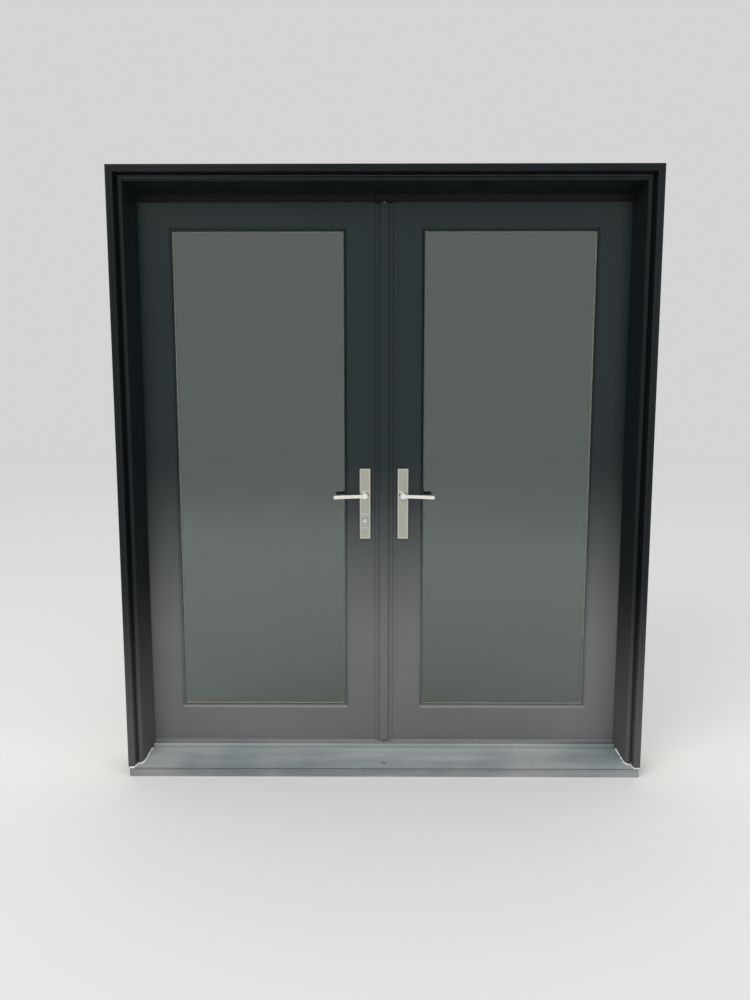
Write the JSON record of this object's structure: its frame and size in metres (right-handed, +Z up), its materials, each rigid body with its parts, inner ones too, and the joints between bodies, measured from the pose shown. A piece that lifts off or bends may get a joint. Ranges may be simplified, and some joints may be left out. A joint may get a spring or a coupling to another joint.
{
  "type": "pair of french doors with frame",
  "caption": "Inswing pair of glazed french doors in a dark clad wood frame, with lever handles, astragal, shoot bolts, lock, sloped sill and threshold.",
  "frame": {"origin": "middle of the underside of the sill, in the plane of the front of the exterior casings", "axes": "+X to the right as seen from outside, +Y into the house, +Z up"},
  "size_m": [1.81, 0.23, 2.075],
  "materials": {
    "pine": "clear varnish",
    "dark_cladding": "baked dark paint, satin",
    "glass": "clear insulating glass with a light green cast",
    "spacer_bar": "satin",
    "black_rubber": "matt",
    "grey_sweep": "matt",
    "sill_metal": "baked paint, weathered",
    "sealant": "cured sealant",
    "hinge_metal": "satin",
    "satin_metal": "satin nickel",
    "cylinder_metal": "bright",
    "steel": "zinc plated"
  },
  "bodies": {
    "frame": {"sill": "sill_metal", "threshold": "sill_metal", "sealant_beads": "sealant", "left_casing": "dark_cladding", "right_casing": "dark_cladding", "head_casing": "dark_cladding", "left_jamb": "pine", "right_jamb": "pine", "head_jamb": "pine", "head_weatherstrip": "black_rubber", "jamb_weatherstrips": "black_rubber", "astragal_pad": "black_rubber", "frame_hinge_plates": "hinge_metal", "hinge_pins": "hinge_metal", "head_strike": "steel", "sill_strike": "steel"},
    "active_leaf": {"active_hinge_stile": "pine", "active_meeting_stile": "pine", "active_top_rail": "pine", "active_bottom_rail": "pine", "active_cladding": "dark_cladding", "active_glass": "glass", "active_glass_spacer": "spacer_bar", "active_glazing_gasket": "black_rubber", "active_glazing_stops": "pine", "active_bottom_sweep": "grey_sweep", "active_hinge_plates": "hinge_metal", "active_outside_plate": "satin_metal", "active_inside_plate": "satin_metal", "lock_case": "steel", "lock_faceplate": "steel", "key_cylinder": "cylinder_metal"},
    "passive_leaf": {"passive_hinge_stile": "pine", "passive_meeting_stile": "pine", "passive_top_rail": "pine", "passive_bottom_rail": "pine", "passive_cladding": "dark_cladding", "passive_glass": "glass", "passive_glass_spacer": "spacer_bar", "passive_glazing_gasket": "black_rubber", "passive_glazing_stops": "pine", "passive_bottom_sweep": "grey_sweep", "passive_hinge_plates": "hinge_metal", "passive_outside_plate": "satin_metal", "passive_inside_plate": "satin_metal", "gear_case": "steel", "edge_strike": "steel", "astragal": "dark_cladding"},
    "active_handle": {"active_outside_lever": "satin_metal", "active_inside_lever": "satin_metal", "active_spindle": "steel"},
    "latch": {"latch_bolt": "steel"},
    "lock_turn": {"thumb_turn": "satin_metal", "cylinder_plug": "cylinder_metal"},
    "dead_bolt": {"deadbolt": "steel"},
    "passive_handle": {"passive_outside_lever": "satin_metal", "passive_inside_lever": "satin_metal", "passive_spindle": "steel"},
    "top_shoot_bolt": {"top_bolt": "steel"},
    "bottom_shoot_bolt": {"bottom_bolt": "steel"}
  },
  "joints": [
    {"name": "active_leaf_swing", "type": "hinge", "parent": "frame", "child": "active_leaf", "pos_m": [-0.8625, 0.172, 1.058], "axis": [0, 0, 1], "range_deg": [0, 100]},
    {"name": "passive_leaf_swing", "type": "hinge", "parent": "frame", "child": "passive_leaf", "pos_m": [0.8625, 0.172, 1.058], "axis": [0, 0, 1], "range_deg": [-90, 0]},
    {"name": "active_lever_turn", "type": "hinge", "parent": "active_leaf", "child": "active_handle", "pos_m": [-0.067, 0.14075, 0.989], "axis": [0, 1, 0], "range_deg": [-45, 0], "stiffness_Nm_per_rad": 0.8, "springref_deg": 22.92},
    {"name": "latch_slide", "type": "slide", "parent": "active_leaf", "child": "latch", "axis": [-1, 0, 0], "range_m": [0, 0.012]},
    {"name": "lock_turn_quarter", "type": "hinge", "parent": "active_leaf", "child": "lock_turn", "pos_m": [-0.067, 0.14075, 0.896], "axis": [0, 1, 0], "range_deg": [0, 90]},
    {"name": "deadbolt_slide", "type": "slide", "parent": "active_leaf", "child": "dead_bolt", "axis": [1, 0, 0], "range_m": [0, 0.02]},
    {"name": "passive_lever_turn", "type": "hinge", "parent": "passive_leaf", "child": "passive_handle", "pos_m": [0.067, 0.14075, 0.989], "axis": [0, 1, 0], "range_deg": [-45, 0]},
    {"name": "top_bolt_slide", "type": "slide", "parent": "passive_leaf", "child": "top_shoot_bolt", "axis": [0, 0, 1], "range_m": [0, 0.018]},
    {"name": "bottom_bolt_slide", "type": "slide", "parent": "passive_leaf", "child": "bottom_shoot_bolt", "axis": [0, 0, -1], "range_m": [0, 0.018]}
  ],
  "couplings": [
    {"joint": "passive_leaf_swing", "follows": "active_leaf_swing", "ratio": -0.9},
    {"joint": "latch_slide", "follows": "active_lever_turn", "m_per_rad": -0.01527},
    {"joint": "lock_turn_quarter", "follows": "deadbolt_slide", "rad_per_m": 78.53},
    {"joint": "top_bolt_slide", "follows": "passive_lever_turn", "m_per_rad": -0.0229},
    {"joint": "bottom_bolt_slide", "follows": "passive_lever_turn", "m_per_rad": -0.0229}
  ]
}
